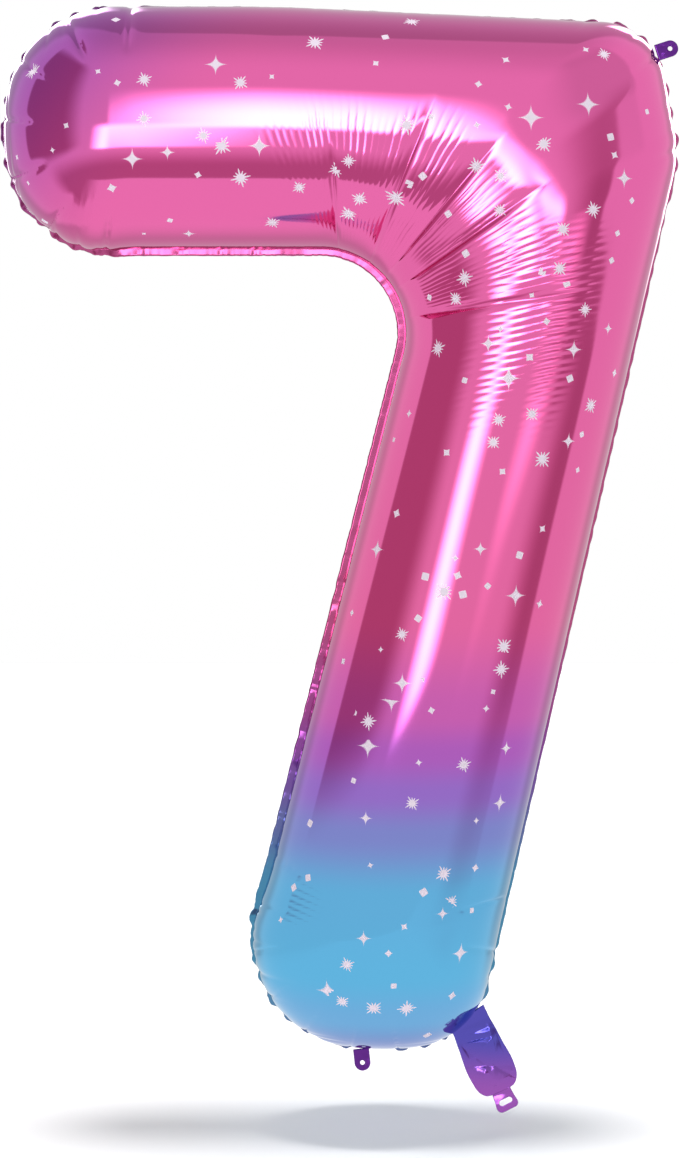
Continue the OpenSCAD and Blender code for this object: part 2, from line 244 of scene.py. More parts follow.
# Gathers: short creases that run in from the seam. Each has a place along its side, a reach, a
# depth and a width. The two panels share them, as they are pulled up by one seam.
def gathers(rng, length, fold, ends, spacing):
    out, s = [], 4.0
    while s < length[-1] - 4:
        f, r = float(fold(np.array([s]))[0]), float(ends(np.array([s]))[0])
        step = rng.uniform(0.6, 1.4)
        long = rng.random() ** 2
        out.append((s, (16 + (20 + 60 * r) * long) * f + (5 + 7 * long) * (1 - f),
                    (0.9 + 2.2 * rng.random()) * f * r + (0.3 + 0.35 * rng.random()) * (1 - f),
                    rng.uniform(2.2, 4.2) * f + rng.uniform(1.0, 1.7) * (1 - f)))
        s += step * (spacing * f + 6.5 * (1 - f))
    return out


rng = np.random.default_rng(7)
OUTER_GATHERS = gathers(rng, outer_len, fold_out, round_out, 16.0)
INNER_GATHERS = gathers(rng, inner_len, fold_in, round_in, 16.0)


def spokes(centre, angles, start, end, depth, width):
    """Long creases as (x0, z0, x1, z1, depth, width), along the spokes of a circle from one radius to
    another."""
    ways = [(math.cos(math.radians(a)), math.sin(math.radians(a))) for a in angles]
    return [(centre[0] + start * c, centre[1] + start * s,
             centre[0] + end * c, centre[1] + end * s, depth, width) for c, s in ways]


# Five long creases fan out from the crook. The rest stand round the bar's end, round the foot
# except at the tail, and at the top corner.
FAN_AT = (293.0, 630.0)
FAN = spokes(FAN_AT, (68, 50, 35, 8), 67, 212, 2.8, 4.0) + spokes(FAN_AT, (94,), 72, 160, 2.2, 3.6)
FOOT_AT = (FOOT_LEFT + FOOT_W / 2 + 24, 100.0)
foot_angles = [141 + 23.5 * i for i in range(11)]
CREASES = (spokes((END_R, END_TIP[1]), range(84, 270, 30), 109, 66, 2.4, 4.0)
           + spokes(FOOT_AT, [a for a in foot_angles if abs(a - 270 - TAIL_SEAT) > 15], 118, 78, 1.3, 2.4)
           + [(BODY_W - 9, BODY_H - 34, BODY_W - 41, BODY_H - 56, 2.0, 4.0)])


def waves(rng, count, low, high):
    """Sine waves as (wavelength, phase, height), with wavelengths between low and high."""
    return [(rng.uniform(low, high), rng.uniform(0, 2 * math.pi), rng.uniform(0.5, 1))
            for _ in range(count)]


def ripple(parts, x):
    """The mean of some waves at x."""
    return sum(a * np.sin(x * 2 * math.pi / w + p) for w, p, a in parts) / len(parts)


def creased(x, z, lines, scale, slope=1.5):
    """Depth of the long creases at (x, z): steep on one side, and `slope` widths wide on the other."""
    h = np.zeros_like(x)
    for x0, z0, x1, z1, depth, width in lines:
        dx, dz = x1 - x0, z1 - z0
        n = math.hypot(dx, dz)
        q = ((x - x0) * dx + (z - z0) * dz) / n
        d = ((x - x0) * dz - (z - z0) * dx) / n
        along = bump(q, -0.08 * n - 4, 0.1 * n, 0.6 * n, 1.05 * n)
        w = np.where(d > 0, width * 0.45, width * slope)
        h -= scale * depth * along * np.exp(-np.abs(d) / w)
    return h


def ridged(phase, power):
    """Rounded furrows with sharp ridges between them, one to each whole step of the phase."""
    return (1 - np.abs(np.sin(math.pi * phase))) ** power


def pleats(x, z, rng):
    """Fine pleats of the bend: they fan out from the crook, in patches between the long creases."""
    rx, rz = x - FAN_AT[0], z - FAN_AT[1]
    rho, theta = np.hypot(rx, rz), np.degrees(np.arctan2(rz, rx))
    phase = theta / 2.15 + 0.35 * ripple(waves(rng, 4, 9, 31), theta)
    phase = phase + 0.12 * ripple(waves(rng, 3, 18, 60), rho)
    far = smooth(rho, 100, 150)
    bend = bump(theta, 2, 14, 98 + 6 * far, 108 + 8 * far)
    reach = 205 + 22 * ripple(waves(rng, 5, 14, 45), theta)
    band = bump(rho, 92, 128, reach - 45, reach)
    root = bump(rho, 70, 80, 95, 120) * 0.6
    uneven = ripple(waves(rng, 4, 12, 28), theta) + 0.3 * ripple(waves(rng, 3, 60, 140), rho)
    patch = 0.35 + 0.65 * smooth(uneven, -0.25, 0.3)
    return -0.5 * ridged(phase, 2.6) * bend * (band * patch + root)


def stem_pleats(x, z, rng):
    """Fine pleats below the bend: level lines across the outer half of the stem."""
    level = z - 0.2 * x + 1.5 * ripple(waves(rng, 4, 40, 120), x)
    phase = level / 6.6 + 0.3 * ripple(waves(rng, 4, 20, 70), level)
    centre = 408 + 0.226 * (z - 630)
    across = smooth(x - centre, -14 + 24 * ripple(waves(rng, 5, 14, 50), z), 16)
    across = across * (1 - smooth(x - centre, 68, 104))
    low_down = bump(z, 525, 612, 655, 735)
    return -0.42 * ridged(phase, 2.6) * across * low_down


def foot_pleats(x, z, rng):
    """Fine pleats beside the crease on the foot's inner side, and under the bar's end."""
    phase = (z + 0.45 * x) / 6.4 + 0.3 * ripple(waves(rng, 4, 20, 60), z)
    foot = bump(x, 232, 250, 268, 300) * bump(z, 95, 112, 150, 165)
    phase2 = (x - 0.2 * z) / 5.6 + 0.3 * ripple(waves(rng, 4, 20, 60), x)
    end = bump(x, 50, 62, 88, 104) * bump(z, 705, 718, 738, 752)
    return -0.2 * (ridged(phase, 2.2) * foot + ridged(phase2, 2.2) * end)


# ---------------------------------------------------------------- meshes
def new_object(name, verts, faces, material):
    """A smooth-shaded mesh object in the scene."""
    mesh = bpy.data.meshes.new(name)
    mesh.from_pydata([tuple(v) for v in np.asarray(verts)], [], [tuple(int(i) for i in f) for f in faces])
    mesh.polygons.foreach_set("use_smooth", [True] * len(mesh.polygons))
    mesh.materials.append(material)
    mesh.update()
    obj = bpy.data.objects.new(name, mesh)
    bpy.context.scene.collection.objects.link(obj)
    return obj


def grid_faces(n, m, base=0, flip=False):
    """Quads over a grid of n by m points that starts at point `base`."""
    i, j = np.meshgrid(np.arange(n - 1), np.arange(m - 1), indexing="ij")
    a = (base + i * m + j).ravel()
    quad = np.c_[a, a + 1, a + m + 1, a + m]
    return quad[:, ::-1] if flip else quad


def stations():
    """Runs of the cross-sections: close together in the bend, the bar's end and the foot."""
    total = knots[-1]
    run = np.linspace(0, total, 2000)
    bend = bump(run, knots[1] + 90, knots[1] + 150, knots[6] + 50, knots[6] + 110)
    weight = 1 + 2.9 * bend + 1.4 * (1 - bend) * smooth(run, knots[6], knots[6] + 40) * (
        1 - smooth(run, knots[6] + 110, knots[6] + 170))
    weight += 1.9 * (1 - smooth(run, knots[1] - 10, knots[1] + 40))
    weight += 2.0 * smooth(run, knots[7] - 60, knots[7] - 20)
    cumulative = np.r_[0, np.cumsum((weight[1:] + weight[:-1]) / 2)]
    return np.interp(np.linspace(0, cumulative[-1], ROWS + 2), cumulative, run)[1:-1]


ROWS, COLS = 740, 118


def base_sections(run, cols):
    """Points of the smooth swollen form: a half ellipse across the body at each run."""
    so, si = np.interp(run, RUN, OUT_OF_RUN), np.interp(run, RUN, IN_OF_RUN)
    a, ta = on_side(outer, outer_len, so)
    b, tb = on_side(inner, inner_len, si)
    middle = (a + b) / 2
    depth = (DEPTH * np.sqrt(np.clip(1 - (1 - np.clip(middle[:, 0] / END_R, 0, 1)) ** 2, 0, 1))
             * np.sqrt(np.clip(1 - (1 - np.clip(middle[:, 1] / FOOT_DOME, 0, 1)) ** 2, 0, 1)))
    a = a - np.c_[-ta[:, 1], ta[:, 0]] * rim_inset(fold_out(so))[:, None]
    b = b - np.c_[tb[:, 1], -tb[:, 0]] * rim_inset(fold_in(si))[:, None]
    t = np.linspace(0, math.pi, cols)
    x = (a[:, :1] + b[:, :1]) / 2 + (a[:, :1] - b[:, :1]) / 2 * np.cos(t)
    z = (a[:, 1:] + b[:, 1:]) / 2 + (a[:, 1:] - b[:, 1:]) / 2 * np.cos(t)
    y = -depth[:, None] * np.sin(t)[None, :]
    return np.stack([x, y, z], -1), so, si, t


def normals_of(p):
    """Normals of a grid of points, out of the front."""
    du = np.gradient(p, axis=0)
    dv = np.gradient(p, axis=1)
    n = np.cross(du, dv)
    n /= np.maximum(np.linalg.norm(n, axis=2), 1e-9)[..., None]
    middle = n[n.shape[0] // 2, n.shape[1] // 2]
    return n if middle[1] < 0 else -n


FRONT_SEED, REAR_SEED = 1, 2


def front_grid(seed):
    """Points of a panel's outside, wrinkles and all, as if it were the front one."""
    run = stations()
    p, so, si, t = base_sections(run, COLS)
    n = normals_of(p)
    front_side = seed == FRONT_SEED
    x, z = as_seen(p) if front_side else (p[..., 0], p[..., 2])
    arc = np.cumsum(np.r_[np.zeros((1, ROWS)), np.linalg.norm(np.diff(p, axis=1), axis=2).T], axis=0).T
    far = arc[:, -1:] - arc
    local = np.random.default_rng(seed)
    fan = FAN if front_side else [(a + 4, b - 5, c + 6, d - 9, e, w) for a, b, c, d, e, w in FAN]
    h = creased(x, z, fan, 1.0)
    h += creased(x, z, CREASES, 1.0 if front_side else 0.8, 0.8)
    h += pleats(x, z, local) + stem_pleats(x, z, local) + foot_pleats(x, z, local)
    for place, dist, items in ((so, arc, OUTER_GATHERS), (si, far, INNER_GATHERS)):
        for s, reach, depth, width in items:
            near = np.nonzero(np.abs(place - s) < 9 * width)[0]
            if len(near):
                k = slice(near[0], near[-1] + 1)
                fade = np.clip(1 - dist[k] / reach, 0, 1) ** 1.3
                h[k] -= depth * np.exp(-np.abs(place[k] - s) / width)[:, None] * fade
    slow = waves(local, 5, 130, 320)
    slow2 = waves(local, 5, 110, 260)
    h += 0.5 * (ripple(slow, x + 0.4 * z) + ripple(slow2, z - 0.3 * x)) * np.sin(t)[None, :]
    return p + n * h[..., None], n, so, si


def panel(name, sign, seed, material):
    """A thin closed shell: the wrinkled outside, and a coarse inside that meets it at the seam."""
    p, n, so, si = front_grid(seed)
    cols_in = 13
    pick = np.round(np.linspace(0, COLS - 1, cols_in)).astype(int)
    inside = p[:, pick] - n[:, pick] * (0.3 + 7.0 * np.sin(np.linspace(0, math.pi, cols_in)))[None, :, None]
    inside[:, 0, 1] = inside[:, -1, 1] = -RIM_Y
    p[:, 0, 1] = p[:, -1, 1] = -RIM_Y
    rim = rim_inset(1.0)
    tips = [[rim, -RIM_Y, END_TIP[1]], [FOOT_TIP[0], -RIM_Y, rim]]
    tips_in = [[rim + 0.5, -RIM_Y, END_TIP[1]], [FOOT_TIP[0], -RIM_Y, rim + 0.5]]
    verts = np.concatenate([p.reshape(-1, 3), inside.reshape(-1, 3), tips, tips_in])
    a, b = ROWS * COLS, ROWS * COLS + ROWS * cols_in
    faces = list(grid_faces(ROWS, COLS)) + list(grid_faces(ROWS, cols_in, a, True))
    for j in range(COLS - 1):
        faces += [(b, j + 1, j), (b + 1, (ROWS - 1) * COLS + j, (ROWS - 1) * COLS + j + 1)]
    for j in range(cols_in - 1):
        last = a + (ROWS - 1) * cols_in + j
        faces += [(b + 2, a + j, a + j + 1), (b + 3, last + 1, last)]
    for i in range(ROWS - 1):
        o, q = i * COLS, a + i * cols_in
        faces.append((o, o + COLS, q + cols_in, q))
        o, q = o + COLS - 1, q + cols_in - 1
        faces.append((o, q, q + cols_in, o + COLS))
    faces += [(b, 0, a, b + 2), (b, b + 2, a + cols_in - 1, COLS - 1)]
    o, q = (ROWS - 1) * COLS, a + (ROWS - 1) * cols_in
    faces += [(b + 1, b + 3, q, o), (b + 1, o + COLS - 1, q + cols_in - 1, b + 3)]
    if sign > 0:
        verts[:, 1] *= -1
        faces = [f[::-1] for f in faces]
    obj = new_object(name, to_frame(verts), faces, material)
    return obj, p


# ---------------------------------------------------------------- materials
def srgb(r, g, b):
    """Linear colour from an 8-bit sRGB one."""
    return tuple((c / 255 / 12.92) if c <= 10 else ((c / 255 + 0.055) / 1.055) ** 2.4
                 for c in (r, g, b)) + (1.0,)


class Nodes:
    """Short names for building a node tree."""
    def __init__(self, tree):
        self.tree = tree
        self.tree.nodes.clear()

    def add(self, kind, **settings):
        n = self.tree.nodes.new(kind)
        for k, v in settings.items():
            setattr(n, k, v)
        return n

    def link(self, a, b):
        self.tree.links.new(a, b)

    def math(self, op, a, b=None, c=None):
        """One arithmetic step on sockets or numbers."""
        n = self.add("ShaderNodeMath", operation=op)
        for socket, v in zip(n.inputs, (a, b, c)):
            if v is None:
                continue
            if isinstance(v, (int, float)):
                socket.default_value = v
            else:
                self.link(v, socket)
        return n.outputs[0]

    def times(self, a, b):
        return self.math("MULTIPLY", a, b)

    def plus(self, a, b):
        return self.math("ADD", a, b)

    def minus(self, a, b):
        return self.math("SUBTRACT", a, b)

    def power_of_size(self, value, power):
        """The value without its sign, raised to a power."""
        return self.math("POWER", self.math("ABSOLUTE", value), power)

    def mix(self, factor, a, b):
        """Colour a, and colour b where the factor is 1. Each is a socket or a fixed colour."""
        n = self.add("ShaderNodeMix", data_type="RGBA")
        self.link(factor, n.inputs["Factor"])
        for name, v in (("A", a), ("B", b)):
            if isinstance(v, tuple):
                n.inputs[name].default_value = v
            else:
                self.link(v, n.inputs[name])
        return n.outputs["Result"]

    def mix_shaders(self, factor, a, b):
        n = self.add("ShaderNodeMixShader")
        for socket, v in zip(n.inputs, (factor, a, b)):
            self.link(v, socket)
        return n.outputs[0]

    def step(self, value, start, end, falling=False):
        """A smooth step from 0 at start to 1 at end, or from 1 down to 0."""
        n = self.add("ShaderNodeMapRange", interpolation_type="SMOOTHSTEP")
        n.inputs["From Min"].default_value = start
        n.inputs["From Max"].default_value = end
        n.inputs["To Min"].default_value = 1.0 if falling else 0.0
        n.inputs["To Max"].default_value = 0.0 if falling else 1.0
        self.link(value, n.inputs["Value"])
        return n.outputs["Result"]

    def window(self, value, low, high, soft, soft_high=None):
        """1 where value is between low and high, with soft edges."""
        soft_high = soft if soft_high is None else soft_high
        return self.times(self.step(value, low - soft, low + soft),
                          self.step(value, high - soft_high, high + soft_high, True))


def material(name):
    """A new material, its node helper and its Principled shader."""
    m = bpy.data.materials.new(name)
    m.use_nodes = True
    k = Nodes(m.node_tree)
    out = k.add("ShaderNodeOutputMaterial")
    bsdf = k.add("ShaderNodeBsdfPrincipled")
    k.link(bsdf.outputs["BSDF"], out.inputs["Surface"])
    return m, k, bsdf


def axes_of(k):
    """The place in the row frame, in metres, as sockets X, Y and Z."""
    where = k.add("ShaderNodeTexCoord")
    split = k.add("ShaderNodeSeparateXYZ")
    k.link(where.outputs["Object"], split.inputs[0])
    return split.outputs


def printed_colour(k):
    """The printed fade: pink over most of the height, then violet, then blue, violet again at the foot."""
    axes = axes_of(k)
    ramp = k.add("ShaderNodeValToRGB")
    stops = [(0.055, (112, 134, 194)), (0.085, (108, 168, 214)), (0.125, (94, 175, 217)),
             (0.195, (97, 172, 216)), (0.247, (125, 133, 200)), (0.282, (148, 107, 196)),
             (0.316, (172, 93, 185)), (0.350, (198, 95, 174)), (0.430, (225, 102, 160)),
             (0.900, (227, 103, 168)), (0.955, (212, 103, 172))]
    ramp.color_ramp.interpolation = "EASE"
    while len(ramp.color_ramp.elements) < len(stops):
        ramp.color_ramp.elements.new(0.5)
    for e, (at, c) in zip(ramp.color_ramp.elements, stops):
        e.position = at
        e.color = srgb(*c)
    k.link(axes["Z"], ramp.inputs["Fac"])
    # A violet corner at the bar's end.
    span = k.minus(k.times(axes["Z"], 0.9), axes["X"])
    return k.mix(k.step(span, 1.03, 1.24), ramp.outputs["Color"], srgb(158, 86, 174))


def star_mask(k):
    """1 inside a printed star. Each corner of the mesh carries the place within its star; the kind is
    0 for a burst of rays, otherwise the power of a rounded or pointed shape."""
    at = k.add("ShaderNodeAttribute", attribute_name="star_at")
    kind = k.add("ShaderNodeAttribute", attribute_name="star_kind").outputs["Fac"]
    split = k.add("ShaderNodeSeparateXYZ")
    k.link(at.outputs["Vector"], split.inputs[0])
    u, v = split.outputs["X"], split.outputs["Y"]
    radius = k.math("SQRT", k.plus(k.times(u, u), k.times(v, v)))
    angle = k.math("ARCTAN2", v, u)
    ray = k.power_of_size(k.math("COSINE", k.times(angle, 6.0)), 3.0)
    cross = k.power_of_size(k.math("COSINE", k.times(angle, 2.0)), 30.0)
    edge = k.plus(k.plus(k.times(ray, 0.34), 0.42), k.times(cross, 0.24))
    burst = k.step(k.minus(radius, edge), -0.1, 0.06, True)
    power = k.math("MAXIMUM", kind, 0.3)
    shape = k.step(k.plus(k.power_of_size(u, power), k.power_of_size(v, power)), 0.86, 1.1, True)
    is_burst = k.math("LESS_THAN", kind, 0.1)
    return k.plus(k.times(burst, is_burst), k.times(shape, k.minus(1.0, is_burst)))


def foil(name, colour=None, stars=False, rough=0.07, shade=1.0):
    """Mirror-bright foil in the printed fade, in the tail's fade or in one colour. `shade` scales the
    colour down as painted shade.
    """
    m, k, bsdf = material(name)
    if colour == "tail":
        tint = k.mix(k.step(axes_of(k)["Z"], 0.058, 0.004), srgb(84, 78, 172), srgb(150, 84, 172))
    elif colour is None:
        tint = printed_colour(k)
    else:
        tint = None
        bsdf.inputs["Base Color"].default_value = srgb(*colour)
    bsdf.inputs["Metallic"].default_value = 1.0
    bsdf.inputs["Roughness"].default_value = rough
    if stars:
        mask = star_mask(k)
        k.link(k.mix(mask, tint, srgb(212, 200, 214)), bsdf.inputs["Base Color"])
        k.link(k.minus(1.0, mask), bsdf.inputs["Metallic"])
        k.link(k.math("MULTIPLY_ADD", mask, 0.4, rough), bsdf.inputs["Roughness"])
    elif tint is not None:
        # Painted shade: the colour is scaled down here to stand for the shade in the sealed edge's folds.
        painted_shade_colour = k.add("ShaderNodeVectorMath", operation="SCALE")
        k.link(tint, painted_shade_colour.inputs[0])
        painted_shade_colour.inputs["Scale"].default_value = shade
        k.link(painted_shade_colour.outputs[0], bsdf.inputs["Base Color"])
    return m


def film(name, colour, alpha, rough=0.25):
    """Clear or printed plastic film."""
    m, k, bsdf = material(name)
    bsdf.inputs["Base Color"].default_value = srgb(*colour)
    bsdf.inputs["Roughness"].default_value = rough
    bsdf.inputs["Alpha"].default_value = alpha
    return m


FOIL_STARS = foil("printed_foil_with_stars", stars=True)
# The sealed edge's foil is the printed fade at 0.55, painted shade for the shadows in its crimped folds.
FOIL_EDGE_PAINTED_SHADE = foil("printed_foil_edge_painted_shade", rough=0.16, shade=0.55)
FOIL_TAIL = foil("tail_foil", "tail", rough=0.13)
FOIL_DEEP = foil("deep_violet_foil", (96, 44, 132), rough=0.14)
CLEAR = film("clear_valve_film", (226, 232, 240), 0.45)
WELD = film("clear_film_weld", (206, 214, 226), 0.7)
INK = film("release_ink", (206, 172, 120), 0.9, 0.5)


# ---------------------------------------------------------------- printed stars
def scattered_stars(seed, count, apart=13.0, margin=12):
    """A seeded scatter as (x, z, radius, kind, turn) of bursts, four-point sparkles and small diamonds."""
    r = np.random.default_rng(seed)
    out = []
    while len(out) < count:
        x, z = r.uniform(8, BODY_W - 8), r.uniform(10, BODY_H - 9)
        if z < BAR_Z + margin and (x < FOOT_LEFT + z * math.tan(INNER_LEAN) + margin
                                   or x > FOOT_RIGHT + z * math.tan(OUTER_LEAN) - margin):
            continue
        if z > BAR_Z and x > BODY_W - 23:
            continue
        if any(math.hypot(x - a[0], z - a[1]) < apart for a in out):
            continue
        pick = r.random()
        if pick < 0.24:
            out.append((x, z, r.uniform(6.5, 9), 0.0, r.uniform(0, 1)))
        elif pick < 0.42:
            out.append((x, z, r.uniform(6, 12), 0.5, 0.0))
        else:
            out.append((x, z, r.uniform(2.8, 4.6), r.choice([0.62, 0.8, 1.1]), r.uniform(0, 1.5)))
    return out


def print_stars(obj, grid, sign, stars):
    """Gives each face the place of its corners within the star that it lies in."""
    mesh = obj.data
    count = len(mesh.polygons)
    outside = (ROWS - 1) * (COLS - 1)
    at = np.full((len(mesh.loops), 3), 9.0)
    kinds = np.full(count, 1.0)
    points = grid.reshape(-1, 3)
    normal = normals_of(grid).reshape(-1, 3)
    seen_x, seen_z = as_seen(points) if sign < 0 else (points[:, 0], points[:, 2])
    loops = np.empty(count, int)
    mesh.polygons.foreach_get("loop_start", loops)
    corners = np.empty(len(mesh.loops), int)
    mesh.loops.foreach_get("vertex_index", corners)
    quads = corners[loops[:outside, None] + np.arange(4)]
    for x, z, r, kind, turn in stars:
        k = np.argmin((seen_x - x) ** 2 + (seen_z - z) ** 2)
        c, n = points[k], normal[k]
        e1 = unit(np.cross([0, 0, 1.0], n))
        e2 = np.cross(n, e1)
        e1, e2 = e1 * math.cos(turn) + e2 * math.sin(turn), e2 * math.cos(turn) - e1 * math.sin(turn)
        near = np.nonzero(((points - c) ** 2).sum(1) < (1.6 * r) ** 2)[0]
        hit = np.isin(quads, near).any(1)
        d = points - c
        uv = np.stack([d @ e1, d @ e2], -1) / r
        for f in np.nonzero(hit)[0]:
            at[loops[f]:loops[f] + 4, :2] = uv[quads[f]]
            kinds[f] = kind
    places = mesh.attributes.new("star_at", "FLOAT_VECTOR", "CORNER")
    places.data.foreach_set("vector", at.ravel().astype(np.float32))
    sorts = mesh.attributes.new("star_kind", "FLOAT", "FACE")
    sorts.data.foreach_set("value", kinds.astype(np.float32))


def on_body(obj, body, node):
    """A piece that rides on one body and stands in for a CAD piece."""
    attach(obj, body)
    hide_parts(node)


# ---------------------------------------------------------------- panels
front, front_points = panel("front_foil", -1, FRONT_SEED, FOIL_STARS)
rear, rear_points = panel("rear_foil", 1, REAR_SEED, FOIL_STARS)
print_stars(front, front_points, -1, scattered_stars(11, 155))
print_stars(rear, rear_points, 1, scattered_stars(5, 175))
on_body(front, "envelope", "front_panel")
on_body(rear, "envelope", "rear_panel")


# ---------------------------------------------------------------- where the pieces hang from
def down(turn):
    """The way down, turned by an angle towards +x."""
    return np.array([math.sin(turn), -math.cos(turn)])


FOOT_CENTRE = corner(SHOULDER, (FOOT_RIGHT, 0), FOOT_TIP, FOOT_OUT_R)[0]
TAIL_TURN, CREASE_TURN = math.radians(24.5), math.radians(35)
TAIL_AT = FOOT_CENTRE + down(math.radians(TAIL_SEAT)) * FOOT_OUT_R + down(CREASE_TURN) * 3
SLANT = math.tan(CREASE_TURN - TAIL_TURN)
# Lengths down the tail from its crease to its end, to the tie tab's crease and to the slot, and
# up into the body to the tongue's crease.
TAIL_LEN, TIE_CREASE, SLOT_AT, NECK_IN = 66.0, 66.9, 75.35, 20.16
UPPER_CENTRE = corner(TOP_BEND, TOP_CORNER, SHOULDER, TOP_CORNER[2])[0]
LOWER_CENTRE = corner((CROOK_X, BAR_Z), (FOOT_LEFT, 0), FOOT_TIP, FOOT_IN_R)[0]
UPPER_TURN, LOWER_TURN = math.radians(108), math.radians(6)
UPPER_AT = UPPER_CENTRE + down(math.radians(122)) * TOP_CORNER[2] + down(UPPER_TURN) * 3.5
LOWER_AT = LOWER_CENTRE + down(math.radians(-2)) * FOOT_IN_R + down(LOWER_TURN) * 3.5


def at_crease(obj, node):
    """A piece across its crease, between a fixed and a moving body: baked in place in the row frame,
    standing in for a CAD piece.
    """
    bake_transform(obj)
    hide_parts(node)


# ---------------------------------------------------------------- the heat-sealed edge
EDGE_LAP = 2.2      # the band starts this far inside the panels' rims
EDGE_STEP = 1.7     # length between its rings
EDGE_HALF_T = 0.28


def sealed_edge():
    """One crimped band round the seven, flat where the outline is hollow and folded back elsewhere."""
    across = np.linspace(0, 1, 6)
    rings = []
    wave = np.random.default_rng(21)
    fine, mid, slow = waves(wave, 4, 4.2, 8.5), waves(wave, 4, 9, 19), waves(wave, 3, 30, 70)
    for path, length, fold_at, ends, grid_rim, flip in (
            (outer, outer_len, fold_out, round_out, front_points[:, 0], 1),
            (inner, inner_len, fold_in, round_in, front_points[:, -1], -1)):
        s = np.linspace(2.0, length[-1] - 2.0, int(length[-1] / EDGE_STEP))
        p, d = on_side(path, length, s)
        n = np.c_[-d[:, 1], d[:, 0]] * flip
        fold = fold_at(s)
        run = np.interp(s, OUT_OF_RUN if flip > 0 else IN_OF_RUN, RUN)
        st = stations()
        rim = np.c_[np.interp(run, st, grid_rim[:, 0]), np.interp(run, st, grid_rim[:, 2])]
        lump = np.clip(0.45 + 1.5 * ripple(mid, s * 0.8 + 300) + 0.8 * ripple(slow, s), 0, 1) * ends(s)
        turn = np.radians(78) * fold * (1 - 0.42 * lump)
        busy = 0.25 + 0.75 * smooth(ripple(slow, s * 1.7), -0.2, 0.5)
        y = ((0.7 * ripple(fine, s) + 1.5 * ripple(mid, s)) * busy
             * (1 - 0.75 * fold * (1 - ends(s))) * 0.7 + 0.5 * ripple(slow, s))
        if flip < 0:
            y *= 1 - 0.75 * bump(s, crook_a - 60, crook_a, crook_b + 110, crook_b + 240)
        width = SEAM * (1 + 0.05 * ripple(mid, s + 40))
        # The tail and the tabs grow out of the seam, so the band is narrow behind them.
        for root, half in ((TAIL_AT, 21.0), (UPPER_AT, 8.5), (LOWER_AT, 8.5)):
            off = np.linalg.norm(p - root, axis=1)
            width *= 0.4 + 0.6 * smooth(off, half, half + 5)
        band = []
        for q in across:
            out = rim + n * (width * np.cos(turn) * q - EDGE_LAP * (1 - q))[:, None]
            back = width * np.sin(turn) * q + y * q ** 1.2 * 1.6
            band.append(np.stack([out[:, 0], back, out[:, 1]], -1))
        rings.append(np.stack(band, 1))
    ring = np.concatenate([rings[0], rings[1][::-1]])
    n, m = len(ring), len(across)
    verts = np.concatenate([ring + [0, -EDGE_HALF_T, 0], ring + [0, EDGE_HALF_T, 0]]).reshape(-1, 3)
    faces = []
    for i in range(n):
        j = (i + 1) % n
        for q in range(m - 1):
            a, b, c, d = i * m + q, j * m + q, j * m + q + 1, i * m + q + 1
            faces += [(a, b, c, d), (a + n * m, d + n * m, c + n * m, b + n * m)]
        faces += [(i * m, i * m + n * m, j * m + n * m, j * m),
                  (i * m + m - 1, j * m + m - 1, j * m + m - 1 + n * m, i * m + m - 1 + n * m)]
    # The band's foil carries painted shade.
    return new_object("sealed_edge", to_frame(verts), faces, FOIL_EDGE_PAINTED_SHADE)


edge = sealed_edge()
on_body(edge, "envelope", "perimeter_seam")


# ---------------------------------------------------------------- pieces that hang from the edge
def placed(at, turn, v, u, y):
    """A point at v across and u down a hanging piece whose crease is at `at`."""
    d = down(turn)
    side_way = np.array([math.cos(turn), math.sin(turn)])
    x = at[0] + side_way[0] * v + d[0] * u
    z = at[1] + side_way[1] * v + d[1] * u
    return np.stack([x, y, z], -1)


def both_sides(at, turn, v, u, y, thick):
    """The points of a thin sheet's two sides, in the row frame."""
    return to_frame(np.concatenate([placed(at, turn, v, u, y + way * thick / 2).reshape(-1, 3)
                                    for way in (-1, 1)]))


def slab(name, v, u, y, thick, at, turn, mat):
    """A thin closed sheet over a grid of places (v, u) with mid-surface y."""
    n, m = v.shape
    k = n * m
    faces = list(grid_faces(n, m, 0, True)) + list(grid_faces(n, m, k))
    rim = [i * m for i in range(n)] + [(n - 1) * m + j for j in range(1, m)]
    rim += [i * m + m - 1 for i in range(n - 2, -1, -1)] + list(range(m - 2, 0, -1))
    for i, j in zip(rim, rim[1:] + rim[:1]):
        faces.append((j, i, i + k, j + k))
    return new_object(name, both_sides(at, turn, v, u, y, thick), faces, mat)


def crumple(v, u):
    """Mid-surface of the tail: sharp folds that cross it, and a slight curl."""
    y = 0.05 * np.maximum(u - 8, 0)
    for v0, u0, angle, depth, width, reach in (
            (-5, 14, 8, 2.2, 3.4, 16), (5, 22, -22, 2.6, 4.0, 15), (-7, 30, 62, 2.8, 4.5, 16),
            (8, 33, -66, 2.4, 4.2, 15), (0, 41, 24, 2.6, 4.5, 18), (-9, 48, -48, 2.4, 4.2, 14),
            (9, 50, 52, 2.2, 4.2, 14), (1, 57, -8, 2.0, 3.8, 14), (-13, 22, 84, 1.8, 3.6, 16),
            (13, 14, -80, 2.0, 3.6, 14), (3, 8, 4, 1.4, 2.6, 12)):
        c, s = math.cos(math.radians(angle)), math.sin(math.radians(angle))
        d = -(v - v0) * s + (u - u0) * c
        q = (v - v0) * c + (u - u0) * s
        sharp = np.where(d > 0, np.exp(-np.abs(d) / (0.7 * width)), np.exp(-np.abs(d) / (1.6 * width)))
        y = y + depth * sharp * np.exp(-(q / reach) ** 2) * (1 if angle > 0 else -1)
    return y * smooth(u, 1, 12)


def puff(v, u):
    """How far each foil film of the tail stands off the valve films."""
    wide = np.clip(1 - (v / 17.0) ** 2, 0, 1)
    swollen = 2.4 * wide ** 0.8 * bump(u, 0, 16, 52, 64)
    return 0.42 + swollen + 0.35 * wide * smooth(u, 50, 60)


